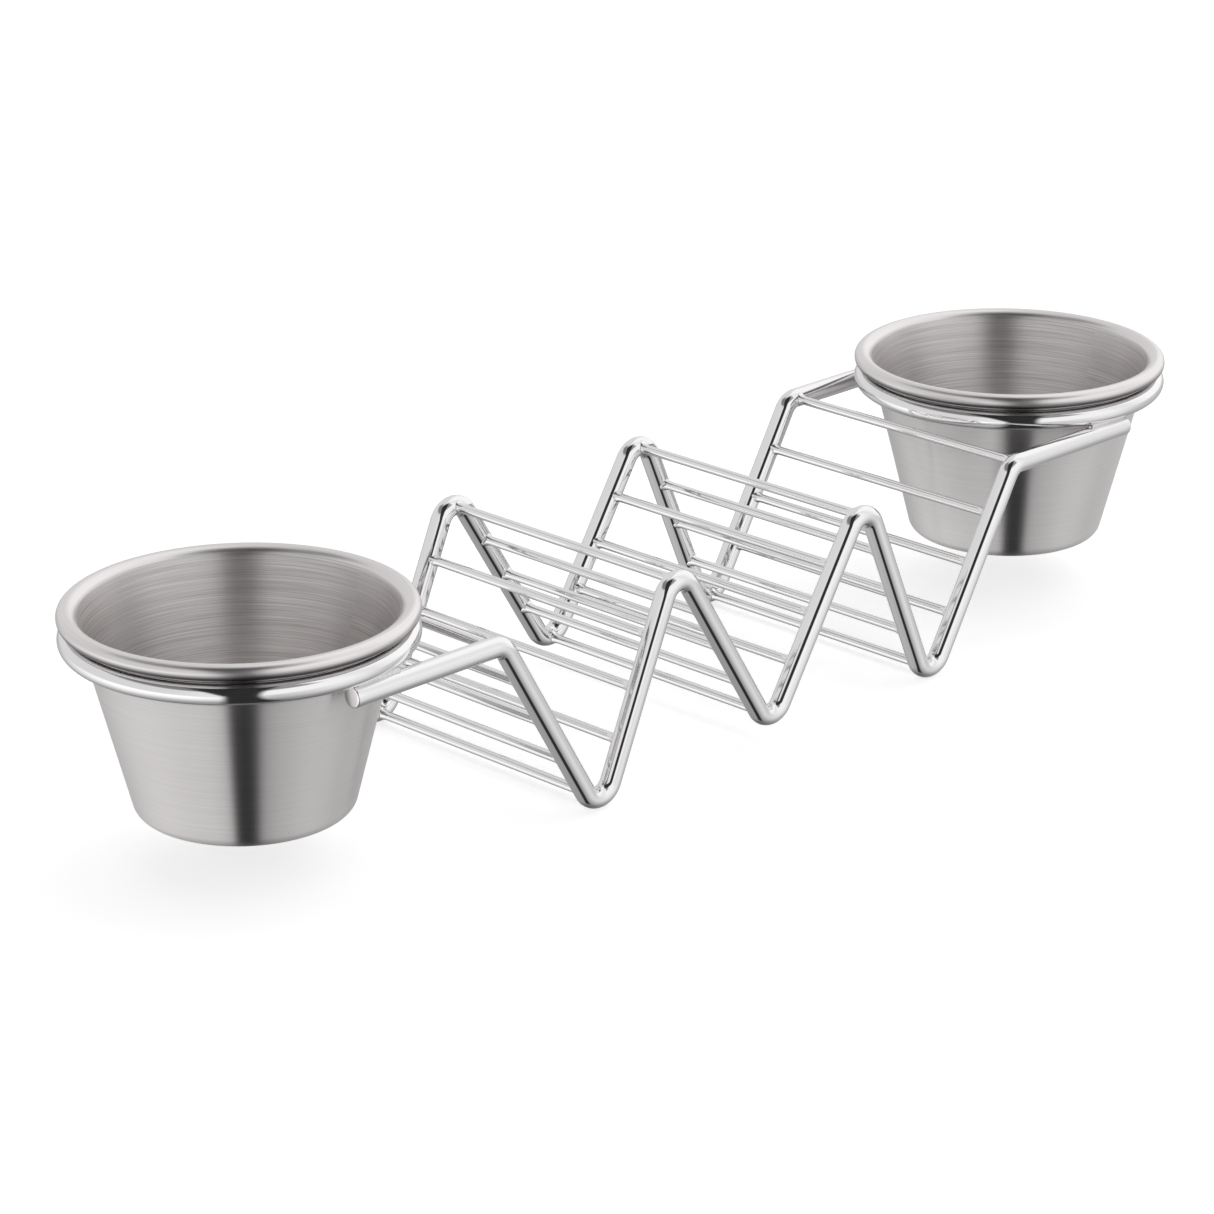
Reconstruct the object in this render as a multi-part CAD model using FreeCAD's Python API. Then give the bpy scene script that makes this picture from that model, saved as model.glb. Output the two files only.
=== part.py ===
"""Taco holder: a welded wire rack with three V shaped slots and a ring at each end that holds a sauce cup.

The rack runs along X, its two bent rails stand at the front (-Y) and at the back (+Y), and Z is up.
The origin lies in the middle of the footprint, on the surface that the rack stands on. Millimetres.
"""
import FreeCAD, Part
import math
import os

# Wires
RAIL_WIRE = 4.8            # diameter of the wire of the rails and the rings
CROSS_WIRE = 2.2           # diameter of the thin wires across the rack

# Zigzag of a rail, on the centre line of its wire
PEAK_HEIGHT = 47.2         # inner peaks
ARM_DROP = 0.5             # the outer peaks and the level arms lie this much lower
MIDDLE_VALLEY_LIFT = 3.8   # the middle slot is opened wider, so its bottom hangs this far off the surface
INNER_PEAK_X = 30.8        # from the middle of the rack
OUTER_VALLEY_X = 56.2
OUTER_PEAK_X = 87.6
BEND_RADIUS = 4.5
WIRES_ON_A_LEG = 3         # cross wires between a peak and a valley

# Sauce cups
CUP_SPACING = 255.0        # between the axes of the two cups
CUP_HEIGHT = 47.4
RIM_DIAMETER = 78.0        # over the rolled rim
CURL_DIAMETER = 3.8        # of the rolled rim's section
CURL_END = -150            # direction in degrees, seen from the curl's middle, where the rolled edge ends
RIM_FLARE = 2.4            # radius at which the wall's outside turns outwards into the curl
RIM_OVERHANG = 0.5         # how far the curl stands off the wall's line
SHEET = 0.7                # thickness of the steel
FOOT_DIAMETER = 47.6       # where wall and floor would meet without the rounding
FOOT_ROUNDING = 3.4        # outside radius between wall and floor

# Seats and joints
RING_DROP = 5.0            # from the middle of the rolled rim down to the ring
SEAT_GAP = 0.02            # between the cup's wall and the ring that it rests in
ARM_OVERRUN = 1.0          # the arms end this far past the middle of the ring
END_ROUNDING = 0.5         # broken edge of the cut wire ends
WELD_FLARE = 0.7           # how much a thin wire's welded end grows in radius
WELD_LENGTH = 2.4          # how far along the wire it does so
WELD_OVERLAP = 0.8         # how far the flare reaches round the rail's inner side
SEAM_WIDTH = 1.8           # weld seam between a ring and an arm
SEAM_LENGTH = 11.0

FRONT, BACK = -1, 1
LEFT, RIGHT = -1, 1
NEAR_ENOUGH = 0.01

RAIL_RADIUS = RAIL_WIRE / 2
WIRE_RADIUS = CROSS_WIRE / 2
CURL_RADIUS = CURL_DIAMETER / 2
CURL_INSIDE = CURL_RADIUS - SHEET
CURL_CENTRE = FreeCAD.Vector(RIM_DIAMETER / 2 - CURL_RADIUS, 0, CUP_HEIGHT - CURL_RADIUS)
FOOT_CORNER = FreeCAD.Vector(FOOT_DIAMETER / 2, 0, 0)

# The wall leans out from the foot's corner to the curl, and the flare's circle holds the inside of the curl
WALL_TO_CURL = CURL_INSIDE + RIM_OVERHANG
FOOT_TO_CURL = CURL_CENTRE - FOOT_CORNER
SLANT = math.atan2(FOOT_TO_CURL.x, FOOT_TO_CURL.z) - math.asin(WALL_TO_CURL / FOOT_TO_CURL.Length)

# The ring lies where it touches that wall, and the arms right below it, touching it
WALL_AT_RING = FOOT_CORNER.x + (CURL_CENTRE.z - RING_DROP) * math.tan(SLANT)
RING_RADIUS = WALL_AT_RING + (RAIL_RADIUS + SEAT_GAP) / math.cos(SLANT)
RAIL_Y = RING_RADIUS
ARM_HEIGHT = PEAK_HEIGHT - ARM_DROP
RING_HEIGHT = ARM_HEIGHT + RAIL_WIRE
CUP_LIFT = RING_HEIGHT + RING_DROP - CURL_CENTRE.z
ARM_END_X = CUP_SPACING / 2 + ARM_OVERRUN


def polar(centre, radius, angle):
    """Point in the XZ plane at an angle, in radians from +X towards +Z, around a centre."""
    return centre + FreeCAD.Vector(radius * math.cos(angle), 0, radius * math.sin(angle))


def line(start, end):
    """Straight edge between two points."""
    return Part.LineSegment(start, end).toShape()


def arc(centre, radius, start, end):
    """Arc in the XZ plane from one angle to another."""
    points = [polar(centre, radius, angle) for angle in (start, (start + end) / 2, end)]
    return Part.Arc(*points).toShape()


def bends():
    """Top or bottom of each bend, from left to right: x, height, and 1 for a peak or -1 for a valley."""
    half = [(0, RAIL_RADIUS + MIDDLE_VALLEY_LIFT, -1), (INNER_PEAK_X, PEAK_HEIGHT, 1),
            (OUTER_VALLEY_X, RAIL_RADIUS, -1), (OUTER_PEAK_X, ARM_HEIGHT, 1)]
    return [(-x, z, side) for x, z, side in reversed(half[1:])] + half


def bend_centre(bend):
    """Centre of a bend's arc."""
    x, z, side = bend
    return FreeCAD.Vector(x, 0, z - side * BEND_RADIUS)


def leg_angle(bend, following):
    """Angle at which a leg leaves the first bend: both bends' arcs touch the leg on opposite sides."""
    way = bend_centre(following) - bend_centre(bend)
    turn = math.acos(2 * BEND_RADIUS / way.Length)
    return math.atan2(way.z, way.x) + bend[2] * turn


def leg_ends(bend, following):
    """The two ends of the straight leg between two bends."""
    angle = leg_angle(bend, following)
    start = polar(bend_centre(bend), BEND_RADIUS, angle)
    end = polar(bend_centre(following), BEND_RADIUS, angle + math.pi)
    return start, end


def rail_path():
    """Centre line of a rail in the XZ plane: level arm, zigzag, level arm."""
    row = bends()
    angles = [leg_angle(bend, following) for bend, following in zip(row, row[1:])]
    arrivals = [math.pi / 2] + [angle + math.pi for angle in angles]
    departures = angles + [math.pi / 2]
    here = FreeCAD.Vector(-ARM_END_X, 0, ARM_HEIGHT)
    edges = []
    for bend, arrival, departure in zip(row, arrivals, departures):
        centre = bend_centre(bend)
        turn = math.remainder(departure - arrival, 2 * math.pi)
        edges.append(line(here, polar(centre, BEND_RADIUS, arrival)))
        edges.append(arc(centre, BEND_RADIUS, arrival, arrival + turn))
        here = polar(centre, BEND_RADIUS, departure)
    edges.append(line(here, FreeCAD.Vector(ARM_END_X, 0, ARM_HEIGHT)))
    return Part.Wire(edges)


def rail_wire():
    """Round wire along the rail's centre line, with broken edges at its two cut ends."""
    tip = FreeCAD.Vector(-ARM_END_X, 0, ARM_HEIGHT)
    section = Part.Circle(tip, FreeCAD.Vector(1, 0, 0), RAIL_RADIUS)
    wire = rail_path().makePipeShell([Part.Wire([section.toShape()])], True, False)
    ends = [edge for edge in wire.Edges if abs(abs(edge.CenterOfMass.x) - ARM_END_X) < NEAR_ENOUGH]
    return wire.makeFillet(END_ROUNDING, ends)


def ring(end):
    """Closed ring at the left or right end."""
    centre = FreeCAD.Vector(end * CUP_SPACING / 2, 0, RING_HEIGHT)
    return Part.makeTorus(RING_RADIUS, RAIL_RADIUS, centre, FreeCAD.Vector(0, 0, 1))


def ring_seam(end, row):
    """Weld seam in the groove between an arm and its ring, a round bead with domed ends."""
    groove = (ARM_HEIGHT + RING_HEIGHT) / 2
    outer_end = FreeCAD.Vector(end * (CUP_SPACING - SEAM_WIDTH) / 2, row * RAIL_Y, groove)
    inner_end = outer_end - FreeCAD.Vector(end * SEAM_LENGTH, 0, 0)
    bead = Part.makeCylinder(SEAM_WIDTH / 2, SEAM_LENGTH, inner_end, FreeCAD.Vector(end, 0, 0))
    domes = [Part.makeSphere(SEAM_WIDTH / 2, place) for place in (inner_end, outer_end)]
    return bead.fuse(domes)


def rail(row):
    """One rail in its place, with the weld seams that its arms carry."""
    body = rail_wire()
    body.translate(FreeCAD.Vector(0, row * RAIL_Y, 0))
    body = body.fuse([ring_seam(end, row) for end in (LEFT, RIGHT)])
    return body.cut([ring(end) for end in (LEFT, RIGHT)])


def cross_wire_blank():
    """Thin wire along Y with a concave flare at both ends, still running into the middle of the rails."""
    flare_end = RAIL_Y - RAIL_RADIUS + WELD_OVERLAP
    flare_radius = (WELD_LENGTH ** 2 + WELD_FLARE ** 2) / (2 * WELD_FLARE)
    half_turn = math.asin(WELD_LENGTH / flare_radius) / 2
    middle = FreeCAD.Vector(0, 0, 0)
    side = FreeCAD.Vector(WIRE_RADIUS, 0, 0)
    start = FreeCAD.Vector(WIRE_RADIUS, flare_end - WELD_LENGTH, 0)
    sag = FreeCAD.Vector(flare_radius * (1 - math.cos(half_turn)), flare_radius * math.sin(half_turn), 0)
    wide = FreeCAD.Vector(WIRE_RADIUS + WELD_FLARE, flare_end, 0)
    corner = FreeCAD.Vector(wide.x, RAIL_Y, 0)
    end = FreeCAD.Vector(0, RAIL_Y, 0)
    edges = [line(middle, side), line(side, start), Part.Arc(start, start + sag, wide).toShape(),
             line(wide, corner), line(corner, end), line(end, middle)]
    along = FreeCAD.Vector(0, 1, 0)
    half_wire = Part.Face(Part.Wire(edges)).revolve(middle, along, 360)
    return half_wire.fuse(half_wire.mirror(middle, along)).removeSplitter()


def cross_wire(x, z, blank, rails):
    """Cross wire at a place on the zigzag, its ends hollowed to sit on the round rails."""
    wire = blank.copy()
    wire.translate(FreeCAD.Vector(x, 0, z))
    return wire.cut(rails)


def leg_places(bend, following):
    """Places of the cross wires on a leg, evenly spaced in height between its peak and its valley."""
    start, end = leg_ends(bend, following)
    places = []
    for step in range(1, WIRES_ON_A_LEG + 1):
        z = bend[1] + (following[1] - bend[1]) * step / (WIRES_ON_A_LEG + 1)
        along = (z - start.z) / (end.z - start.z)
        places.append((start.x + (end.x - start.x) * along, z))
    return places


def wire_places():
    """Name and place of every cross wire."""
    row = bends()
    places = {}
    for kind, side in (("peak", 1), ("valley", -1)):
        chosen = [bend for bend in row if bend[2] == side]
        for number, bend in enumerate(chosen, 1):
            places[f"{kind}_wire_{number}"] = (bend[0], bend[1])
    for leg, (bend, following) in enumerate(zip(row, row[1:]), 1):
        for number, place in enumerate(leg_places(bend, following), 1):
            places[f"leg_{leg}_wire_{number}"] = place
    return places


def flare_centre():
    """Centre of the flare under the rim: its circle touches the wall's outside and the inside of the curl."""
    upwards = FreeCAD.Vector(math.sin(SLANT), 0, math.cos(SLANT))
    outwards = FreeCAD.Vector(math.cos(SLANT), 0, -math.sin(SLANT))
    across = RIM_FLARE - WALL_TO_CURL
    down = math.sqrt((RIM_FLARE - CURL_INSIDE) ** 2 - across ** 2)
    return CURL_CENTRE + outwards * across - upwards * down


def sheet_side(foot_radius, flare_radius, curl_radius):
    """One side of the sheet: foot rounding, straight wall, flare and curl, up to the rolled edge."""
    foot_inset = FOOT_ROUNDING / math.tan((math.pi / 2 + SLANT) / 2)
    foot = FreeCAD.Vector(FOOT_CORNER.x - foot_inset, 0, FOOT_ROUNDING)
    flare = flare_centre()
    turnover = math.atan2(CURL_CENTRE.z - flare.z, CURL_CENTRE.x - flare.x)
    wall_top = polar(flare, flare_radius, math.pi - SLANT)
    return [arc(foot, foot_radius, -math.pi / 2, -SLANT),
            line(polar(foot, foot_radius, -SLANT), wall_top),
            arc(flare, flare_radius, math.pi - SLANT, turnover),
            arc(CURL_CENTRE, curl_radius, turnover, math.radians(CURL_END))]


def cup_section():
    """Half section of a cup in the XZ plane: one sheet from the floor's middle round to the rolled edge."""
    outside = sheet_side(FOOT_ROUNDING, RIM_FLARE, CURL_INSIDE)
    inside = sheet_side(FOOT_ROUNDING - SHEET, RIM_FLARE + SHEET, CURL_RADIUS)
    floor_bottom = FreeCAD.Vector(0, 0, 0)
    floor_top = FreeCAD.Vector(0, 0, SHEET)
    edges = [line(floor_bottom, outside[0].firstVertex().Point)] + outside
    edges.append(line(outside[-1].lastVertex().Point, inside[-1].lastVertex().Point))
    edges += reversed(inside)
    edges += [line(inside[0].firstVertex().Point, floor_top), line(floor_top, floor_bottom)]
    return Part.Face(Part.Wire(edges))


def sauce_cup(end):
    """One cup, turned from its half section and set down into the left or right ring."""
    cup = cup_section().revolve(FreeCAD.Vector(0, 0, 0), FreeCAD.Vector(0, 0, 1), 360)
    cup.translate(FreeCAD.Vector(end * CUP_SPACING / 2, 0, CUP_LIFT))
    return cup


def build():
    """Every piece of the taco holder by name."""
    pieces = {"front_rail": rail(FRONT), "back_rail": rail(BACK)}
    for name, end in (("left", LEFT), ("right", RIGHT)):
        pieces[f"{name}_ring"] = ring(end)
        pieces[f"{name}_sauce_cup"] = sauce_cup(end)
    blank = cross_wire_blank()
    rails = [pieces["front_rail"], pieces["back_rail"]]
    for name, (x, z) in wire_places().items():
        pieces[name] = cross_wire(x, z, blank, rails)
    return pieces


os.makedirs("parts", exist_ok=True)
for piece_name, piece in build().items():
    [solid] = piece.Solids
    print(f"{piece_name}: {solid.Volume:.1f} mm3, valid {solid.isValid()}")
    solid.exportStep(f"parts/{piece_name}.step")
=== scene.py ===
"""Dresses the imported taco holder: polished wires with their welds and two spun steel sauce cups.

Sizes are in millimetres, as in the part's source, and become metres when a mesh is made. The rack runs
along X, its rails stand at the front (-Y) and the back (+Y), Z is up and the rack stands on Z = 0.
"""

import logging
import math
from dataclasses import dataclass
from enum import Enum
from functools import cached_property
from typing import ClassVar

import bmesh
import bpy
import numpy as np
from mathutils import Matrix, Vector


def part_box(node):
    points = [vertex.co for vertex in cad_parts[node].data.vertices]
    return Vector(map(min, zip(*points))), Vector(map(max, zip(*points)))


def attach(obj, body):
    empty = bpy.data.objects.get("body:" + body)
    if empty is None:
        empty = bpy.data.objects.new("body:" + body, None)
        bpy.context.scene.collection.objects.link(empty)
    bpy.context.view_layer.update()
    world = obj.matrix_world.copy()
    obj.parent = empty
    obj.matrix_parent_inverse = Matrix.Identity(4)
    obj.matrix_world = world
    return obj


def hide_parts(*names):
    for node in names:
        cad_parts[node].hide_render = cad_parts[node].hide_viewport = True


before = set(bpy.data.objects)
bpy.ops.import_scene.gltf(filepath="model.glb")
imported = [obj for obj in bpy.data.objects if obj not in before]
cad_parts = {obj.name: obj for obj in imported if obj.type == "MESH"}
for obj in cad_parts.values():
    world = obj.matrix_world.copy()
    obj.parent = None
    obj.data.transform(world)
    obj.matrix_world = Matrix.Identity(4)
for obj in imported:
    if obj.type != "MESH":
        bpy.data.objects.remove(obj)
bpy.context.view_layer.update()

MM = 0.001
POLE_GAP = 1e-7
BODY = "root"
log = logging.getLogger("taco_holder")


class Row(Enum):
    """Which side of the rack a rail stands on; the value is its sign along Y."""

    FRONT = -1
    BACK = 1


class End(Enum):
    """Which end of the rack a ring and a cup are at; the value is their sign along X."""

    LEFT = -1
    RIGHT = 1


class CupFace(Enum):
    """Which part of a cup a face is on; the value is the place of its material in the cup's list."""

    OUTSIDE = 0
    INSIDE = 1
    RIM = 2


class Slot(Enum):
    """The record's material slots."""

    FRAME_WIRE = "frame_wire"
    CROSS_WIRE = "cross_wire"
    CUP_SHEET = "cup_sheet"


def circle_points(centre: tuple[float, float], radius: float, start: float, end: float,
                  step: float = 6.0) -> np.ndarray:
    """Points on an arc: centre + radius * (cos a, sin a), with a running evenly from start to end.

    Args:
        centre: the arc's middle.
        radius: its radius.
        start: first angle in degrees.
        end: last angle in degrees.
        step: largest step between points in degrees.

    Returns:
        An array of points, one a row.
    """
    count = max(2, math.ceil(abs(end - start) / step) + 1)
    angles = np.radians(np.linspace(start, end, count))
    return np.stack([centre[0] + radius * np.cos(angles), centre[1] + radius * np.sin(angles)], axis=1)


def grid_object(name: str, points: np.ndarray, loops_along: bool, lengths: np.ndarray) -> bpy.types.Object:
    """A closed surface over a grid of points, wrapped across its columns.

    Its UV map is (share of a turn, length in metres). Face (i, j) joins the grid's points (i, j), (i, j+1),
    (i+1, j+1) and (i+1, j). Its order is turned round where the enclosed volume, a sixth of the sum of
    a . (b x c) over the triangles, comes out negative.

    Args:
        name: the object's name.
        points: rows x columns x 3, in millimetres.
        loops_along: whether the last row joins the first.
        lengths: length along the surface at each row, in millimetres.

    Returns:
        The object, linked to the scene, with smooth faces.
    """
    rows, columns = points.shape[:2]
    last = rows if loops_along else rows - 1
    i, j = np.meshgrid(np.arange(last), np.arange(columns), indexing="ij")
    i, j = i.ravel(), j.ravel()
    corner_rows = np.stack([i, i, i + 1, i + 1], axis=1)
    corner_columns = np.stack([j, j + 1, j + 1, j], axis=1)
    faces = (corner_rows % rows) * columns + corner_columns % columns
    flat = points.reshape(-1, 3) * MM
    a, b, c, d = (flat[faces[:, k]] for k in range(4))
    volume = np.einsum("ij,ij->", a, np.cross(b, c)) + np.einsum("ij,ij->", a, np.cross(c, d))
    if volume < 0:
        faces, corner_rows, corner_columns = faces[:, ::-1], corner_rows[:, ::-1], corner_columns[:, ::-1]
    mesh = bpy.data.meshes.new(name)
    mesh.vertices.add(len(flat))
    mesh.vertices.foreach_set("co", flat.ravel())
    mesh.loops.add(faces.size)
    mesh.loops.foreach_set("vertex_index", faces.ravel().astype(np.int32))
    mesh.polygons.add(len(faces))
    mesh.polygons.foreach_set("loop_start", np.arange(0, faces.size, 4, dtype=np.int32))
    mesh.update(calc_edges=True)
    along = np.append(lengths, lengths[-1] + (lengths[-1] - lengths[-2]))
    uv = np.stack([corner_columns / columns, along[corner_rows] * MM], axis=-1)
    mesh.uv_layers.new(name="UVMap").data.foreach_set("uv", uv.ravel())
    mesh.polygons.foreach_set("use_smooth", np.ones(len(faces), dtype=bool))
    mesh.validate()
    piece = bpy.data.objects.new(name, mesh)
    bpy.context.scene.collection.objects.link(piece)
    return piece


def close_poles(piece: bpy.types.Object) -> None:
    """Merges the points that a closed surface has more than once at its two poles.

    Args:
        piece: the object, whose mesh is changed.
    """
    work = bmesh.new()
    work.from_mesh(piece.data)
    bmesh.ops.remove_doubles(work, verts=work.verts, dist=POLE_GAP)
    work.to_mesh(piece.data)
    work.free()


@dataclass(frozen=True)
class RackSizes:
    """Sizes that the rack's pieces share; the bends are given on the centre line of the wire."""

    rail_wire: float = 4.8
    cross_wire: float = 2.2
    peak_height: float = 47.2
    arm_height: float = 46.7
    middle_valley_lift: float = 3.8
    inner_peak_x: float = 30.8
    outer_valley_x: float = 56.2
    outer_peak_x: float = 87.6
    bend_radius: float = 4.5
    wires_on_a_leg: int = 3
    cup_spacing: float = 255.0
    arm_overrun: float = 1.0

    @property
    def rail_radius(self) -> float:
        """Radius of the rails' and rings' wire."""
        return self.rail_wire / 2

    @cached_property
    def rail_y(self) -> float:
        """Distance of a rail's centre line from the rack's middle, read from the frame."""
        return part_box("back_rail")[1][1] / MM - self.rail_radius

    def axis_x(self, end: End) -> float:
        """Place of the ring's and the cup's axis along the rack."""
        return end.value * self.cup_spacing / 2

    @property
    def bends(self) -> list[tuple[float, float, int]]:
        """Top or bottom of each bend from left to right; the right half is mirrored for the left.

        Returns:
            For each bend its x, its height, and 1 for a peak or -1 for a valley.
        """
        half = [(0.0, self.rail_radius + self.middle_valley_lift, -1),
                (self.inner_peak_x, self.peak_height, 1),
                (self.outer_valley_x, self.rail_radius, -1),
                (self.outer_peak_x, self.arm_height, 1)]
        return [(-x, z, side) for x, z, side in reversed(half[1:])] + half

    def bend_centre(self, bend: tuple[float, float, int]) -> np.ndarray:
        """Centre of a bend's arc, as (x, z)."""
        return np.array([bend[0], bend[1] - bend[2] * self.bend_radius])

    def leg_angle(self, bend: tuple[float, float, int], following: tuple[float, float, int]) -> float:
        """Works out where a leg leaves a bend; both bends' arcs touch it, on opposite sides.

        Args:
            bend: the bend that the leg leaves.
            following: the bend that it reaches.

        Returns:
            The angle on the first bend's circle at which the leg leaves it, in radians.
        """
        way = self.bend_centre(following) - self.bend_centre(bend)
        turn = math.acos(2 * self.bend_radius / np.hypot(*way))
        return math.atan2(way[1], way[0]) + bend[2] * turn


class RailPath:
    """The centre line of a rail in the XZ plane: level arm, zigzag, level arm."""

    bend_step = 4.0
    straight_step = 2.5

    def __init__(self, sizes: RackSizes) -> None:
        """Works the path out as points and directions, the straights and bends in turn.

        Args:
            sizes: the rack's sizes.
        """
        self.sizes = sizes
        bends = sizes.bends
        angles = [sizes.leg_angle(bend, following) for bend, following in zip(bends, bends[1:])]
        arrivals = [math.pi / 2] + [angle + math.pi for angle in angles]
        departures = angles + [math.pi / 2]
        tip = sizes.cup_spacing / 2 + sizes.arm_overrun
        parts = [np.array([[-tip, sizes.arm_height]])]
        for bend, arrival, departure in zip(bends, arrivals, departures):
            turn = math.remainder(departure - arrival, math.tau)
            parts.append(circle_points(tuple(sizes.bend_centre(bend)), sizes.bend_radius,
                                       math.degrees(arrival), math.degrees(arrival + turn), self.bend_step))
        parts.append(np.array([[tip, sizes.arm_height]]))
        corners = np.concatenate(parts)
        self.points = self.filled(corners, self.straight_step)
        steps = np.diff(self.points, axis=0)
        self.lengths = np.concatenate([[0.0], np.cumsum(np.hypot(steps[:, 0], steps[:, 1]))])
        ways = steps / np.hypot(steps[:, 0], steps[:, 1])[:, None]
        mean = np.concatenate([ways[:1], ways[:-1] + ways[1:], ways[-1:]])
        self.directions = mean / np.hypot(mean[:, 0], mean[:, 1])[:, None]

    @staticmethod
    def filled(corners: np.ndarray, step: float) -> np.ndarray:
        """Adds evenly spaced points wherever two corners are further apart than a step.

        Args:
            corners: the points to keep.
            step: largest distance between two points.

        Returns:
            All points in order.
        """
        gaps = np.hypot(*np.diff(corners, axis=0).T)
        pieces = [np.linspace(a, b, max(1, math.ceil(gap / step)), endpoint=False)
                  for a, b, gap in zip(corners, corners[1:], gaps)]
        return np.concatenate(pieces + [corners[-1:]])

    def distance(self, x: np.ndarray, z: np.ndarray) -> np.ndarray:
        """Distance from points in the XZ plane to the path, the least over its short straight steps.

        Args:
            x: the points' x.
            z: the points' z, of the same shape.

        Returns:
            The distances, of the same shape.
        """
        spots = np.stack([x, z], axis=-1)[..., None, :]
        start, way = self.points[:-1], np.diff(self.points, axis=0)
        share = np.clip(((spots - start) * way).sum(-1) / (way ** 2).sum(-1), 0, 1)
        return np.linalg.norm(spots - start - share[..., None] * way, axis=-1).min(-1)


@dataclass(frozen=True)
class Lines:
    """Fine lines in a finish: how many a turn and a metre, how deep in millimetres, how strong in shade."""

    round_piece: float
    along_piece: float
    depth: float
    contrast: float


@dataclass(frozen=True)
class Finish:
    """A metal finish: its colour, how it mirrors, and the lines that its making leaves.

    Between two given heights, in millimetres over the table, painted shade darkens its colour downwards to a
    given share.
    """

    brushed_across: ClassVar[float] = 0.25
    noise_detail: ClassVar[float] = 3.0
    noise_roughness: ClassVar[float] = 0.6
    noise_low: ClassVar[float] = 0.3
    noise_high: ClassVar[float] = 0.7

    name: str
    colour: tuple[float, float, float]
    roughness: float
    anisotropy: float = 0.0
    lines: tuple[Lines, ...] = ()
    painted_shade_heights: tuple[float, float] | None = None
    painted_shade_level: float = 1.0

    def material(self) -> bpy.types.Material:
        """Builds the material.

        Returns:
            The material.
        """
        material = bpy.data.materials.new(self.name)
        material.use_nodes = True
        nodes, links = material.node_tree.nodes, material.node_tree.links
        shader = nodes["Principled BSDF"]
        shader.inputs["Base Color"].default_value = (*self.colour, 1.0)
        shader.inputs["Metallic"].default_value = 1.0
        shader.inputs["Roughness"].default_value = self.roughness
        shader.inputs["Anisotropic"].default_value = self.anisotropy
        shader.inputs["Anisotropic Rotation"].default_value = self.brushed_across
        if self.anisotropy:
            around = nodes.new("ShaderNodeTangent")
            around.direction_type = "UV_MAP"
            around.uv_map = "UVMap"
            links.new(around.outputs["Tangent"], shader.inputs["Tangent"])
        colour = normal = None
        for lines in self.lines:
            pattern = self.pattern(material.node_tree, lines)
            colour = self.shaded(material.node_tree, lines, pattern, colour)
            if lines.depth:
                normal = self.grooved(material.node_tree, lines, pattern, normal)
        # Painted shade: the colour darkens low on the piece, between two heights.
        if self.painted_shade_heights:
            colour = self.painted_underside_shade(material.node_tree, colour)
        if colour:
            links.new(colour, shader.inputs["Base Color"])
        if normal:
            links.new(normal, shader.inputs["Normal"])
        return material

    def pattern(self, tree: bpy.types.NodeTree, lines: Lines) -> bpy.types.NodeSocket:
        """Noise on the UV map, drawn out round the piece.

        Args:
            tree: the material's nodes.
            lines: the lines' measures.

        Returns:
            The noise, mostly between the two noise levels.
        """
        place = tree.nodes.new("ShaderNodeUVMap")
        place.uv_map = "UVMap"
        stretch = tree.nodes.new("ShaderNodeMapping")
        stretch.inputs["Scale"].default_value = (lines.round_piece, lines.along_piece, 1.0)
        noise = tree.nodes.new("ShaderNodeTexNoise")
        noise.inputs["Scale"].default_value = 1.0
        noise.inputs["Detail"].default_value = self.noise_detail
        noise.inputs["Roughness"].default_value = self.noise_roughness
        tree.links.new(place.outputs["UV"], stretch.inputs["Vector"])
        tree.links.new(stretch.outputs["Vector"], noise.inputs["Vector"])
        return noise.outputs["Fac"]

    def painted_underside_shade(self, tree: bpy.types.NodeTree, colour: bpy.types.NodeSocket) -> bpy.types.NodeSocket:
        """Paints shade into a colour low on the piece, with a soft edge.

        Args:
            tree: the material's nodes.
            colour: the colour so far.

        Returns:
            The colour, times the painted shade under the lower height and unchanged over the upper one.
        """
        place = tree.nodes.new("ShaderNodeTexCoord")
        split = tree.nodes.new("ShaderNodeSeparateXYZ")
        share = tree.nodes.new("ShaderNodeMapRange")
        share.inputs["From Min"].default_value = self.painted_shade_heights[0] * MM
        share.inputs["From Max"].default_value = self.painted_shade_heights[1] * MM
        share.inputs["To Min"].default_value = self.painted_shade_level
        tree.links.new(place.outputs["Object"], split.inputs["Vector"])
        tree.links.new(split.outputs["Z"], share.inputs["Value"])
        scaled = tree.nodes.new("ShaderNodeVectorMath")
        scaled.operation = "SCALE"
        tree.links.new(colour, scaled.inputs["Vector"])
        tree.links.new(share.outputs["Result"], scaled.inputs["Scale"])
        return scaled.outputs["Vector"]

    def shaded(self, tree: bpy.types.NodeTree, lines: Lines, pattern: bpy.types.NodeSocket,
               colour: bpy.types.NodeSocket | None) -> bpy.types.NodeSocket:
        """Multiplies a colour by a shade that runs from 1 - contrast to 1 + contrast over the pattern.

        Args:
            tree: the material's nodes.
            lines: the lines' measures.
            pattern: where the lines are.
            colour: the colour so far, or None for the finish's own.

        Returns:
            The shaded colour.
        """
        shade = tree.nodes.new("ShaderNodeMapRange")
        shade.inputs["From Min"].default_value = self.noise_low
        shade.inputs["From Max"].default_value = self.noise_high
        shade.inputs["To Min"].default_value = 1.0 - lines.contrast
        shade.inputs["To Max"].default_value = 1.0 + lines.contrast
        tree.links.new(pattern, shade.inputs["Value"])
        scaled = tree.nodes.new("ShaderNodeVectorMath")
        scaled.operation = "SCALE"
        scaled.inputs["Vector"].default_value = self.colour
        if colour:
            tree.links.new(colour, scaled.inputs["Vector"])
        tree.links.new(shade.outputs["Result"], scaled.inputs["Scale"])
        return scaled.outputs["Vector"]

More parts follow.
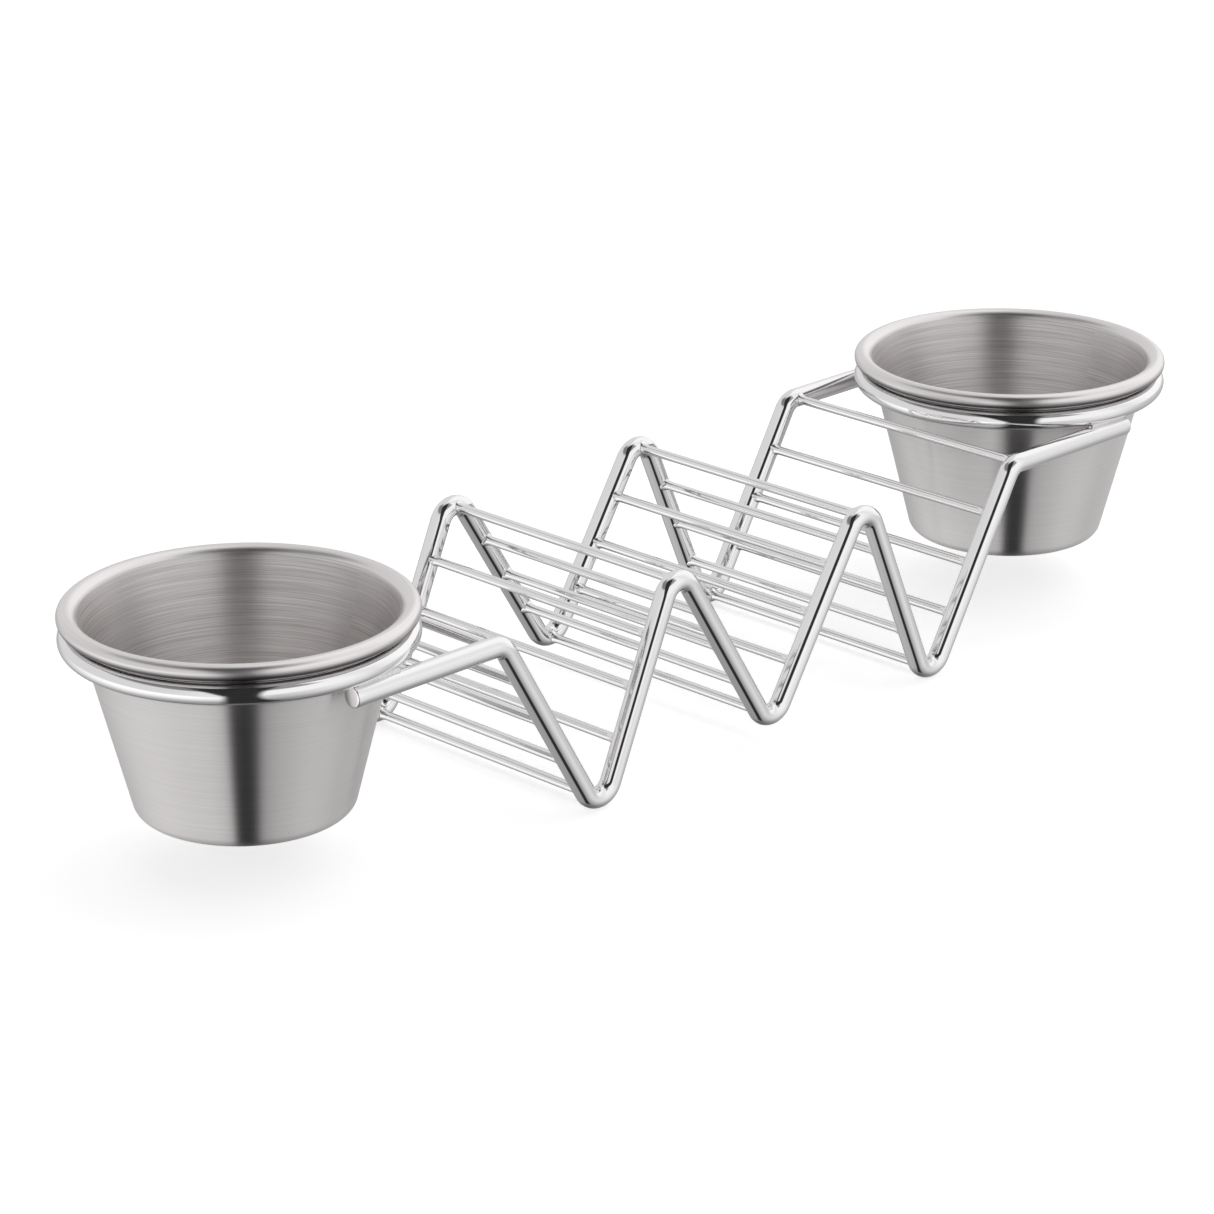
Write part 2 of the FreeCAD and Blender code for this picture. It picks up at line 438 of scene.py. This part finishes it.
    @staticmethod
    def grooved(tree: bpy.types.NodeTree, lines: Lines, pattern: bpy.types.NodeSocket,
                normal: bpy.types.NodeSocket | None) -> bpy.types.NodeSocket:
        """Turns a pattern into fine grooves.

        Args:
            tree: the material's nodes.
            lines: the lines' measures.
            pattern: where the lines are.
            normal: the normal so far, or None for the mesh's own.

        Returns:
            The bumped normal.
        """
        bump = tree.nodes.new("ShaderNodeBump")
        bump.inputs["Strength"].default_value = 1.0
        bump.inputs["Distance"].default_value = lines.depth * MM
        tree.links.new(pattern, bump.inputs["Height"])
        if normal:
            tree.links.new(normal, bump.inputs["Normal"])
        return bump.outputs["Normal"]


POLISHED_WIRE = Finish("polished_wire", (0.85, 0.84, 0.845), roughness=0.08)
WELDED_STEEL = Finish("welded_steel", (0.70, 0.69, 0.68), roughness=0.22,
                      lines=(Lines(2.0, 300.0, 0.006, 0.06),))
# The rim's colour has painted shade under its rolled edge, darkening to a tenth from 56.8 mm down to 55.5 mm
# over the table.
SATIN_RIM = Finish("satin_rim", (0.78, 0.75, 0.75), roughness=0.31, anisotropy=0.2,
                   lines=(Lines(3.0, 2600.0, 0.0, 0.06),), painted_shade_heights=(55.5, 56.8), painted_shade_level=0.10)
BRUSHED_OUTSIDE = Finish("brushed_outside", (0.79, 0.763, 0.762), roughness=0.34, anisotropy=1.0,
                         lines=(Lines(1.5, 1500.0, 0.0015, 0.025), Lines(4.0, 5000.0, 0.0, 0.05)))
# The inside's colour is darker than the outside's as painted shade in the cup's hollow; both sides are the
# same steel sheet.
BRUSHED_INSIDE_PAINTED_SHADE = Finish("brushed_inside_painted_shade", (0.69, 0.667, 0.66), roughness=0.40, anisotropy=0.7,
                        lines=(Lines(2.5, 1700.0, 0.003, 0.12), Lines(7.0, 5000.0, 0.0, 0.25)))
CUP_FINISHES = {CupFace.OUTSIDE: BRUSHED_OUTSIDE, CupFace.INSIDE: BRUSHED_INSIDE_PAINTED_SHADE, CupFace.RIM: SATIN_RIM}


def dress(piece: bpy.types.Object, materials: tuple[bpy.types.Material, ...], slot: Slot,
          *nodes: str) -> bpy.types.Object:
    """Gives a piece its materials and body, and lets it stand for its CAD nodes.

    Args:
        piece: the finished object.
        materials: its materials, the main one first.
        slot: not used.
        nodes: the CAD nodes that it replaces.

    Returns:
        The piece.
    """
    for material in materials:
        piece.data.materials.append(material)
    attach(piece, BODY)
    if nodes:
        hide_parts(*nodes)
    log.info("%s: %d faces", piece.name, len(piece.data.polygons))
    return piece


@dataclass
class Rail:
    """A bent rail with cut ends whose edges are broken."""

    sizes: RackSizes
    path: RailPath
    row: Row
    end_rounding: float = 0.5
    end_rows: int = 6
    sides: int = 48

    def build(self, material: bpy.types.Material) -> bpy.types.Object:
        """Carries a circle along the path: point = centre + radius * (cos a * Y + sin a * side).

        At the two ends the radius grows from nothing over a quarter round, which closes the wire.

        Args:
            material: the wire's material.

        Returns:
            The finished rail.
        """
        radius, edge = self.sizes.rail_radius, self.end_rounding
        quarter = np.linspace(0, math.pi / 2, self.end_rows)
        back = np.concatenate([[0.0], edge * (1 - np.cos(quarter))])
        reach = np.concatenate([[0.0], radius - edge + edge * np.sin(quarter)])
        points, ways = self.path.points, self.path.directions
        inner = slice(1, -1)
        centres = np.concatenate([points[0] + ways[0] * back[:, None], points[inner],
                                  points[-1] - ways[-1] * back[::-1, None]])
        forward = np.concatenate([np.tile(ways[0], (len(back), 1)), ways[inner],
                                  np.tile(ways[-1], (len(back), 1))])
        radii = np.concatenate([reach, np.full(len(points) - 2, radius), reach[::-1]])
        lengths = np.concatenate([back, self.path.lengths[inner], self.path.lengths[-1] - back[::-1]])
        turn = np.linspace(0, math.tau, self.sides, endpoint=False)
        across = radii[:, None] * np.cos(turn)
        side = radii[:, None] * np.sin(turn)
        grid = np.stack([centres[:, :1] - forward[:, 1:] * side,
                         self.row.value * self.sizes.rail_y + across,
                         centres[:, 1:] + forward[:, :1] * side], axis=-1)
        name = f"{self.row.name.lower()}_rail"
        piece = grid_object(f"polished_{name}", grid, False, lengths)
        close_poles(piece)
        return dress(piece, (material,), Slot.FRAME_WIRE, name)


@dataclass
class Ring:
    """A closed ring of the rails' wire, placed where the frame has it."""

    sizes: RackSizes
    end: End
    steps: int = 288
    sides: int = 48

    @property
    def name(self) -> str:
        """Name of the CAD node."""
        return f"{self.end.name.lower()}_ring"

    @cached_property
    def height(self) -> float:
        """Height of its centre line, from the frame."""
        low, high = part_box(self.name)
        return (low[2] + high[2]) / 2 / MM

    @cached_property
    def radius(self) -> float:
        """Radius of its centre line, from the frame."""
        low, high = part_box(self.name)
        return (high[0] - low[0]) / 2 / MM - self.sizes.rail_radius

    def build(self, material: bpy.types.Material) -> bpy.types.Object:
        """Turns a circle round the ring's axis: radius from the axis = ring radius + wire radius * cos b.

        Args:
            material: the wire's material.

        Returns:
            The finished ring.
        """
        turns = [np.linspace(0, math.tau, count, endpoint=False) for count in (self.steps, self.sides)]
        round_axis, round_wire = np.meshgrid(*turns, indexing="ij")
        reach = self.radius + self.sizes.rail_radius * np.cos(round_wire)
        grid = np.stack([self.sizes.axis_x(self.end) + reach * np.cos(round_axis),
                         reach * np.sin(round_axis),
                         self.height + self.sizes.rail_radius * np.sin(round_wire)], axis=-1)
        lengths = np.linspace(0, math.tau * self.radius, self.steps, endpoint=False)
        piece = grid_object(f"polished_{self.name}", grid, True, lengths)
        return dress(piece, (material,), Slot.FRAME_WIRE, self.name)


@dataclass
class RingSeam:
    """The weld seam in the groove between an arm and its ring."""

    sizes: RackSizes
    ring: Ring
    row: Row
    width: float = 1.8
    length: float = 11.0
    ripple: float = 0.03
    ripple_pitch: float = 1.3
    rows: int = 60
    dome_rows: int = 9
    sides: int = 24

    def build(self, material: bpy.types.Material) -> bpy.types.Object:
        """A rippled sausage: radius = half the width, domed at the ends, times 1 + ripple * sin(along).

        Args:
            material: the weld's material.

        Returns:
            The finished seam.
        """
        end, radius = self.ring.end.value, self.width / 2
        y = self.row.value * self.sizes.rail_y
        z = (self.sizes.arm_height + self.ring.height) / 2
        quarter = np.linspace(0, math.pi / 2, self.dome_rows)
        along = np.concatenate([radius * (1 - np.cos(quarter[:-1])),
                                np.linspace(radius, radius + self.length, self.rows),
                                radius + self.length + radius * np.sin(quarter[1:])])
        total = self.length + self.width
        inset = np.clip(np.minimum(along, total - along), 0, radius)
        reach = np.sqrt(np.maximum(radius ** 2 - (radius - inset) ** 2, 0))
        reach *= 1 + self.ripple * (np.sin(math.tau * along / self.ripple_pitch) - 1)
        turn = np.linspace(0, math.tau, self.sides, endpoint=False)
        x = end * (self.sizes.cup_spacing / 2 - along)
        grid = np.stack([np.broadcast_to(x[:, None], (len(x), len(turn))),
                         y + reach[:, None] * np.cos(turn),
                         z + reach[:, None] * np.sin(turn)], axis=-1)
        piece = grid_object(f"{self.ring.name}_{self.row.name.lower()}_seam", grid, False, along)
        close_poles(piece)
        return dress(piece, (material,), Slot.FRAME_WIRE)


@dataclass
class CrossWires:
    """The thin wires across the rack, each with a flared weld hollowed to the rails at both ends."""

    sizes: RackSizes
    path: RailPath
    weld_flare: float = 0.7
    weld_length: float = 2.4
    weld_overlap: float = 0.8
    sides: int = 32
    plain_rows: int = 12
    weld_rows: int = 16
    row_gap: float = 0.02
    fitting_rounds: int = 8
    unevenness: float = 0.12
    lobe_drift: float = 2.3
    phase_between_wires: float = 1.7
    phase_between_ends: float = 0.9

    @property
    def radius(self) -> float:
        """Radius of the thin wire."""
        return self.sizes.cross_wire / 2

    def places(self) -> dict[str, tuple[float, float]]:
        """Name and place (x, z) of every cross wire: on the bends, and evenly in height on each leg.

        Returns:
            Places by the CAD node's name.
        """
        bends, parts = self.sizes.bends, self.sizes.wires_on_a_leg + 1
        found = {}
        for kind, side in (("peak", 1), ("valley", -1)):
            chosen = [bend for bend in bends if bend[2] == side]
            found.update({f"{kind}_wire_{n}": bend[:2] for n, bend in enumerate(chosen, 1)})
        for leg, (bend, following) in enumerate(zip(bends, bends[1:]), 1):
            angle = self.sizes.leg_angle(bend, following)
            out = self.sizes.bend_radius * np.array([math.cos(angle), math.sin(angle)])
            start, end = self.sizes.bend_centre(bend) + out, self.sizes.bend_centre(following) - out
            for number in range(1, parts):
                z = bend[1] + (following[1] - bend[1]) * number / parts
                x = start[0] + (end[0] - start[0]) * (z - start[1]) / (end[1] - start[1])
                found[f"leg_{leg}_wire_{number}"] = (x, z)
        return found

    def reach(self, y: np.ndarray) -> np.ndarray:
        """Radius of the wire: plain, then growing by a round flare towards the rail.

        Args:
            y: distances from the wire's middle.

        Returns:
            The radius at each distance.
        """
        flare_end = self.sizes.rail_y - self.sizes.rail_radius + self.weld_overlap
        flare_radius = (self.weld_length ** 2 + self.weld_flare ** 2) / (2 * self.weld_flare)
        inside = np.clip(y - (flare_end - self.weld_length), 0, self.weld_length)
        return self.radius + flare_radius - np.sqrt(flare_radius ** 2 - inside ** 2)

    def half_grid(self, x: float, z: float, phase: float) -> tuple[np.ndarray, np.ndarray]:
        """One half of a wire, from its middle to the rail's surface.

        The end lies where the rail's round surface, y = rail_y - sqrt(R^2 - distance^2), meets the flare;
        that y is found by putting it back into the flare's radius a few times. The flare's growth is
        multiplied by 1 + unevenness times the mean of two sines, of two and three lobes round the wire.

        Args:
            x: the wire's place along the rack.
            z: its height.
            phase: sets the weld's unevenness apart from the other welds'.

        Returns:
            The grid's points (rows x sides x 3) and the length at each row.
        """
        turn = np.linspace(0, math.tau, self.sides, endpoint=False)
        lobes = np.sin(2 * turn + phase) + np.sin(3 * turn + self.lobe_drift * phase)
        uneven = 1 + self.unevenness * lobes / 2
        end = np.full(self.sides, self.sizes.rail_y - self.sizes.rail_radius)
        for _ in range(self.fitting_rounds):
            reach = self.radius + (self.reach(end) - self.radius) * uneven
            gap = self.path.distance(x + reach * np.cos(turn), z + reach * np.sin(turn))
            end = self.sizes.rail_y - np.sqrt(np.maximum(self.sizes.rail_radius ** 2 - gap ** 2, 0))
        plain = 1 - self.weld_length / end.min()
        share = np.concatenate([np.linspace(0, plain - self.row_gap, self.plain_rows),
                                np.linspace(plain, 1, self.weld_rows)])
        y = share[:, None] * end
        reach = self.radius + (self.reach(y) - self.radius) * uneven
        grid = np.stack([x + reach * np.cos(turn), y, z + reach * np.sin(turn)], axis=-1)
        return grid, y.mean(axis=1)

    def build(self, material: bpy.types.Material) -> list[bpy.types.Object]:
        """Builds every cross wire, closed at both ends by a last row drawn together on the rail's surface.

        Args:
            material: the thin wire's material.

        Returns:
            The finished wires.
        """
        wires = []
        for number, (name, (x, z)) in enumerate(self.places().items()):
            phase = self.phase_between_wires * number
            front, front_lengths = self.half_grid(x, z, phase)
            back, back_lengths = self.half_grid(x, z, phase + self.phase_between_ends)
            front = front * np.array([1, -1, 1])
            tips = [np.broadcast_to(half[-1].mean(axis=0), (1, self.sides, 3)) for half in (front, back)]
            grid = np.concatenate([tips[0], front[::-1], back[1:], tips[1]])
            lengths = np.concatenate([[-front_lengths[-1]], -front_lengths[::-1], back_lengths[1:],
                                      [back_lengths[-1]]])
            piece = grid_object(f"polished_{name}", grid, False, lengths)
            close_poles(piece)
            wires.append(dress(piece, (material,), Slot.CROSS_WIRE, name))
        return wires


@dataclass
class SauceCup:
    """A cup of one steel sheet: flat floor, slanted wall, flare and rolled rim.

    The rim's finish reaches rim_height down from the top, and rim_height_inside on the side of the sauce.
    """

    sizes: RackSizes
    end: End
    height: float = 47.4
    rim_diameter: float = 78.0
    curl_diameter: float = 3.8
    curl_end: float = -150.0
    rim_flare: float = 2.4
    rim_overhang: float = 0.5
    sheet: float = 0.7
    foot_diameter: float = 47.6
    foot_rounding: float = 3.4
    rim_height: float = 3.3
    rim_height_inside: float = 1.3
    steps: int = 320
    sheet_step: float = 1.0
    flare_step: float = 4.0
    level_normal: float = 0.5

    @property
    def name(self) -> str:
        """Name of the CAD node."""
        return f"{self.end.name.lower()}_sauce_cup"

    @cached_property
    def lift(self) -> float:
        """Height of the cup's underside, read from the frame."""
        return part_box(self.name)[0][2] / MM

    def side(self, inner: bool) -> np.ndarray:
        """One side of the sheet as (radius, height): foot round, wall, flare, curl up to the rolled edge.

        Args:
            inner: whether it is the side that holds the sauce.

        Returns:
            The points from the floor's edge to the rolled edge.
        """
        curl_radius = self.curl_diameter / 2
        curl_inside = curl_radius - self.sheet
        curl = np.array([self.rim_diameter / 2 - curl_radius, self.height - curl_radius])
        corner = np.array([self.foot_diameter / 2, 0.0])
        wall_to_curl = curl_inside + self.rim_overhang
        slant = math.atan2(*(curl - corner)) - math.asin(wall_to_curl / np.hypot(*(curl - corner)))
        foot = corner + [-self.foot_rounding / math.tan((math.pi / 2 + slant) / 2), self.foot_rounding]
        up, out = np.array([math.sin(slant), math.cos(slant)]), np.array([math.cos(slant), -math.sin(slant)])
        across = self.rim_flare - wall_to_curl
        flare = curl + out * across - up * math.sqrt((self.rim_flare - curl_inside) ** 2 - across ** 2)
        turnover = math.degrees(math.atan2(*(curl - flare)[::-1]))
        thick = self.sheet if inner else 0.0
        tilt = math.degrees(slant)
        foot_arc = circle_points(tuple(foot), self.foot_rounding - thick, -90, -tilt)
        flare_arc = circle_points(tuple(flare), self.rim_flare + thick, 180 - tilt, turnover,
                                  self.flare_step)
        curl_arc = circle_points(tuple(curl), curl_inside + thick, turnover, self.curl_end)
        corners = np.concatenate([foot_arc, flare_arc, curl_arc[1:]])
        return RailPath.filled(corners, self.sheet_step)

    def outline(self) -> np.ndarray:
        """The sheet's whole section as (radius, height), from the underside's middle to the floor's.

        Returns:
            The points: underside, outside, rolled edge, inside, floor.
        """
        outside, inside = self.side(inner=False), self.side(inner=True)
        under = RailPath.filled(np.array([[0.0, 0.0], outside[0]]), self.sheet_step)[:-1]
        floor = RailPath.filled(np.array([inside[0], [0.0, self.sheet]]), self.sheet_step)[1:]
        return np.concatenate([under, outside, inside[::-1], floor])

    def paint_faces(self, mesh: bpy.types.Mesh) -> None:
        """Gives each face the material of its part of the cup.

        A face is on the rim where it lies high enough, and else inside where it faces the cup's axis or up.

        Args:
            mesh: the cup's mesh, which has its three materials.
        """
        centres = np.empty(len(mesh.polygons) * 3, dtype=np.float32)
        normals = np.empty_like(centres)
        mesh.polygons.foreach_get("center", centres)
        mesh.polygons.foreach_get("normal", normals)
        centres, normals = centres.reshape(-1, 3), normals.reshape(-1, 3)
        outward = centres[:, :2] - [self.sizes.axis_x(self.end) * MM, 0.0]
        faces_in = ((outward * normals[:, :2]).sum(axis=1) < 0) | (normals[:, 2] > self.level_normal)
        depth = np.where(faces_in, self.rim_height_inside, self.rim_height)
        on_rim = centres[:, 2] > (self.lift + self.height - depth) * MM
        part = np.where(faces_in, CupFace.INSIDE.value, CupFace.OUTSIDE.value)
        part = np.where(on_rim, CupFace.RIM.value, part)
        mesh.polygons.foreach_set("material_index", part.astype(np.int32))

    def build(self, looks: dict[CupFace, bpy.types.Material]) -> bpy.types.Object:
        """Turns the sheet's outline round the cup's axis: (r cos a, r sin a, z).

        Args:
            looks: the material of each part of the cup.

        Returns:
            The finished cup.
        """
        outline = self.outline()
        lengths = np.concatenate([[0.0], np.cumsum(np.hypot(*np.diff(outline, axis=0).T))])
        turn = np.linspace(0, math.tau, self.steps, endpoint=False)
        grid = np.stack([self.sizes.axis_x(self.end) + outline[:, :1] * np.cos(turn),
                         outline[:, :1] * np.sin(turn),
                         np.broadcast_to(self.lift + outline[:, 1:], (len(outline), self.steps))], axis=-1)
        piece = grid_object(f"spun_{self.name}", grid, False, lengths)
        close_poles(piece)
        dress(piece, tuple(looks[part] for part in CupFace), Slot.CUP_SHEET, self.name)
        self.paint_faces(piece.data)
        return piece


@dataclass
class Camera:
    """The photograph's camera, found from the object's known sizes."""

    place: tuple[float, float, float] = (-679.9, -662.5, 377.7)
    heading: float = 45.04
    pitch: float = -20.48
    roll: float = -0.15
    lens: float = 127.51
    sensor: float = 36.0
    clip: tuple[float, float] = (0.01, 100.0)

    def build(self) -> bpy.types.Object:
        """Sets the camera up: heading is measured from +Y towards +X, pitch up from the horizon.

        Returns:
            The camera.
        """
        heading, pitch, roll = (math.radians(v) for v in (self.heading, self.pitch, self.roll))
        forward = Vector((math.sin(heading) * math.cos(pitch), math.cos(heading) * math.cos(pitch),
                          math.sin(pitch)))
        right = Vector((math.cos(heading), -math.sin(heading), 0.0))
        up = right.cross(forward)
        right, up = (right * math.cos(roll) + up * math.sin(roll),
                     up * math.cos(roll) - right * math.sin(roll))
        data = bpy.data.cameras.new("photo_camera")
        data.lens, data.sensor_width = self.lens, self.sensor
        data.clip_start, data.clip_end = self.clip
        camera = bpy.data.objects.new("photo_camera", data)
        turn = Matrix((right, up, -forward)).transposed()
        camera.matrix_world = Matrix.Translation(Vector(self.place) * MM) @ turn.to_4x4()
        bpy.context.scene.collection.objects.link(camera)
        bpy.context.scene.camera = camera
        return camera


@dataclass(frozen=True)
class Ramp:
    """Grey stops by angle in degrees, from -reach to +reach."""

    reach: float
    stops: tuple[tuple[float, float], ...]

    def build(self, tree: bpy.types.NodeTree, angle: bpy.types.NodeSocket) -> bpy.types.NodeSocket:
        """Reads the ramp at an angle.

        Args:
            tree: the node tree to work in.
            angle: the angle in radians.

        Returns:
            The grey that the ramp has there.
        """
        spread = tree.nodes.new("ShaderNodeMapRange")
        spread.inputs["From Min"].default_value = -math.radians(self.reach)
        spread.inputs["From Max"].default_value = math.radians(self.reach)
        tree.links.new(angle, spread.inputs["Value"])
        node = tree.nodes.new("ShaderNodeValToRGB")
        elements = node.color_ramp.elements
        elements.remove(elements[-1])
        for number, (stop, shade) in enumerate(self.stops):
            place = (stop + self.reach) / (2 * self.reach)
            element = elements.new(place) if number else elements[0]
            element.position = place
            element.color = (shade, shade, shade, 1.0)
        tree.links.new(spread.outputs["Result"], node.inputs["Fac"])
        return node.outputs["Color"]


@dataclass
class Studio:
    """A white tent over a pale floor, with a dark gap for the camera that widens upwards on the left."""

    heading: float
    floor_size: float = 12.0
    floor_shade: float = 0.90
    floor_glow: float = 0.52
    sky_by_height: Ramp = Ramp(90, ((-90, 0.85), (-10, 0.85), (5, 1.0), (90, 1.0)))
    sky_around: Ramp = Ramp(180, ((-180, 0.80), (-140, 0.78), (-40, 0.80), (-20, 0.9), (25, 1.05),
                                  (75, 1.05), (95, 0.9), (120, 1.1), (160, 1.1), (180, 0.80)))
    frame_by_height: Ramp = Ramp(90, ((-90, 1.0), (40, 1.0), (47, 0.30), (64, 0.30), (72, 1.0), (90, 1.0)))
    frame_around: Ramp = Ramp(180, ((-180, 1.0), (-125, 1.0), (-110, 0.0), (55, 0.0), (70, 1.0), (180, 1.0)))
    table_by_height: Ramp = Ramp(90, ((-90, 0.24), (-70, 0.27), (-57, 0.40), (-48, 0.52), (-38, 0.68),
                                      (-25, 0.85), (-10, 0.95), (90, 0.95)))
    table_around: Ramp = Ramp(180, ((-180, 0.50), (-150, 0.55), (-128, 0.85), (-105, 1.15), (-80, 1.35),
                                    (-30, 1.35), (0, 1.1), (25, 0.70), (45, 0.85), (65, 1.0), (85, 0.97),
                                    (105, 0.75), (130, 0.65), (180, 0.50)))
    horizon_slope: float = 5.0
    horizon_share: float = 0.9
    gap_left: float = -0.10
    gap_right: float = 0.28
    gap_spread: float = 0.27
    gap_softness: float = 0.08
    gap_top_slope: float = 7.0
    gap_shade: float = 0.03

    def floor(self) -> bpy.types.Object:
        """A large pale floor that shows white to the camera and keeps the object's shadow.

        Returns:
            The floor.
        """
        half = self.floor_size / 2
        mesh = bpy.data.meshes.new("floor")
        corners = [(-half, -half, 0), (half, -half, 0), (half, half, 0), (-half, half, 0)]
        mesh.from_pydata(corners, [], [(0, 1, 2, 3)])
        floor = bpy.data.objects.new("floor", mesh)
        material = bpy.data.materials.new("pale_floor")
        material.use_nodes = True
        nodes, links = material.node_tree.nodes, material.node_tree.links
        shader = nodes["Principled BSDF"]
        shader.inputs["Base Color"].default_value = (self.floor_shade,) * 3 + (1.0,)
        shader.inputs["Roughness"].default_value = 1.0
        shader.inputs["Specular IOR Level"].default_value = 0.0
        glow = nodes.new("ShaderNodeEmission")
        path = nodes.new("ShaderNodeLightPath")
        both = nodes.new("ShaderNodeAddShader")
        seen = self.reckon(material.node_tree, "MULTIPLY", path.outputs["Is Camera Ray"], self.floor_glow)
        links.new(seen, glow.inputs["Strength"])
        links.new(shader.outputs["BSDF"], both.inputs[0])
        links.new(glow.outputs["Emission"], both.inputs[1])
        links.new(both.outputs["Shader"], nodes["Material Output"].inputs["Surface"])
        mesh.materials.append(material)
        floor.visible_glossy = False
        bpy.context.scene.collection.objects.link(floor)
        return floor

    @staticmethod
    def reckon(tree: bpy.types.NodeTree, operation: str, *values: bpy.types.NodeSocket | float,
               clamp: bool = False) -> bpy.types.NodeSocket:
        """One step of arithmetic in a node tree.

        Args:
            tree: the node tree to work in.
            operation: the step's name.
            values: sockets to read, or plain numbers.
            clamp: whether the result is kept between 0 and 1.

        Returns:
            The result.
        """
        node = tree.nodes.new("ShaderNodeMath")
        node.operation = operation
        node.use_clamp = clamp
        for socket, value in zip(node.inputs, values):
            if isinstance(value, (int, float)):
                socket.default_value = value
            else:
                tree.links.new(value, socket)
        return node.outputs["Value"]

    @staticmethod
    def mix(tree: bpy.types.NodeTree, share: bpy.types.NodeSocket | float, a: bpy.types.NodeSocket,
            b: bpy.types.NodeSocket | tuple[float, ...], blend: str = "MIX") -> bpy.types.NodeSocket:
        """Mixes two colours.

        Args:
            tree: the node tree to work in.
            share: how much of the second colour there is.
            a: the first colour.
            b: the second colour, a socket or plain numbers.
            blend: how the two are mixed.

        Returns:
            The mixed colour.
        """
        node = tree.nodes.new("ShaderNodeMix")
        node.data_type = "RGBA"
        node.blend_type = blend
        tree.links.new(a, node.inputs["A"])
        for socket, value in ((node.inputs["Factor"], share), (node.inputs["B"], b)):
            if isinstance(value, (float, tuple)):
                socket.default_value = value
            else:
                tree.links.new(value, socket)
        return node.outputs["Result"]

    def gap(self, tree: bpy.types.NodeTree, right: bpy.types.NodeSocket, toward: bpy.types.NodeSocket,
            up: bpy.types.NodeSocket) -> bpy.types.NodeSocket:
        """How much of the tent there is, from 0 inside the camera's gap to 1 outside it.

        The gap is where left edge - spread * up < right < right edge, with soft edges. It ends overhead.

        Args:
            tree: the world's nodes.
            right: the direction's part to the camera's right.
            toward: its part towards the camera.
            up: its part upwards.

        Returns:
            The share.
        """
        widening = self.reckon(tree, "MULTIPLY", self.reckon(tree, "MAXIMUM", up, 0.0), self.gap_spread)
        left_edge = self.reckon(tree, "SUBTRACT", self.gap_left, widening)
        beyond = self.reckon(tree, "MAXIMUM", self.reckon(tree, "SUBTRACT", left_edge, right),
                             self.reckon(tree, "SUBTRACT", right, self.gap_right))
        edge = self.reckon(tree, "DIVIDE", beyond, self.gap_softness)
        beside = self.reckon(tree, "ADD", edge, 0.5, clamp=True)
        in_front = self.reckon(tree, "MULTIPLY", toward, self.gap_top_slope)
        behind = self.reckon(tree, "SUBTRACT", 1.0, in_front, clamp=True)
        return self.reckon(tree, "MAXIMUM", beside, behind)

    def directions(self, tree: bpy.types.NodeTree) -> list[bpy.types.NodeSocket]:
        """Parts of the direction looked in: to the camera's right, level towards the camera, and up.

        Args:
            tree: the world's nodes.

        Returns:
            The three parts, each the dot product of the direction and an axis.
        """
        place = tree.nodes.new("ShaderNodeTexCoord")
        turn = math.radians(self.heading)
        parts = []
        for axis in ((math.cos(turn), -math.sin(turn), 0.0), (-math.sin(turn), -math.cos(turn), 0.0),
                     (0.0, 0.0, 1.0)):
            share = tree.nodes.new("ShaderNodeVectorMath")
            share.operation = "DOT_PRODUCT"
            share.inputs[1].default_value = axis
            tree.links.new(place.outputs["Generated"], share.inputs[0])
            parts.append(share.outputs["Value"])
        return parts

    def tent(self) -> bpy.types.World:
        """The light all round: the tent above the horizon, the table below it, and the camera's gap.

        Each half is one ramp by height times one by the direction round the object. A dark band of the
        tent's frame lies high on the camera's side. The camera itself sees plain white in place of it.

        Returns:
            The world.
        """
        world = bpy.data.worlds.new("tent")
        world.use_nodes = True
        tree = world.node_tree
        background = tree.nodes["Background"]
        right, toward, up = self.directions(tree)
        around = self.reckon(tree, "ARCTAN2", right, toward)
        height = self.reckon(tree, "ARCSINE", up)
        halves = [self.mix(tree, 1.0, by_height.build(tree, height), by_side.build(tree, around), "MULTIPLY")
                  for by_height, by_side in ((self.table_by_height, self.table_around),
                                             (self.sky_by_height, self.sky_around))]
        rising = self.reckon(tree, "MULTIPLY", height, self.horizon_slope)
        above = self.reckon(tree, "ADD", rising, self.horizon_share, clamp=True)
        bare = self.mix(tree, above, *halves)
        clear = self.mix(tree, 1.0, self.frame_by_height.build(tree, height),
                         self.frame_around.build(tree, around), "LIGHTEN")
        whole = self.mix(tree, 1.0, bare, clear, "MULTIPLY")
        shut = self.reckon(tree, "SUBTRACT", 1.0, self.gap(tree, right, toward, up))
        dimmed = self.mix(tree, shut, whole, (self.gap_shade,) * 3 + (1.0,))
        path = tree.nodes.new("ShaderNodeLightPath")
        shown = self.mix(tree, path.outputs["Is Camera Ray"], dimmed, (1.0, 1.0, 1.0, 1.0))
        tree.links.new(shown, background.inputs["Color"])
        background.inputs["Strength"].default_value = 1.0
        bpy.context.scene.world = world
        return world


def main() -> None:
    """Builds the taco holder's pieces in order, then the camera and the studio."""
    logging.basicConfig(level=logging.INFO, format="%(name)s: %(message)s")
    bpy.context.scene.view_settings.view_transform = "Standard"
    wire, weld = POLISHED_WIRE.material(), WELDED_STEEL.material()
    looks = {part: finish.material() for part, finish in CUP_FINISHES.items()}
    sizes = RackSizes()
    path = RailPath(sizes)
    for row in Row:
        Rail(sizes, path, row).build(wire)
    for end in End:
        ring = Ring(sizes, end)
        ring.build(wire)
        for row in Row:
            RingSeam(sizes, ring, row).build(weld)
        SauceCup(sizes, end).build(looks)
    CrossWires(sizes, path).build(wire)
    camera = Camera()
    camera.build()
    studio = Studio(camera.heading)
    studio.floor()
    studio.tent()


if __name__ == "__main__":
    main()
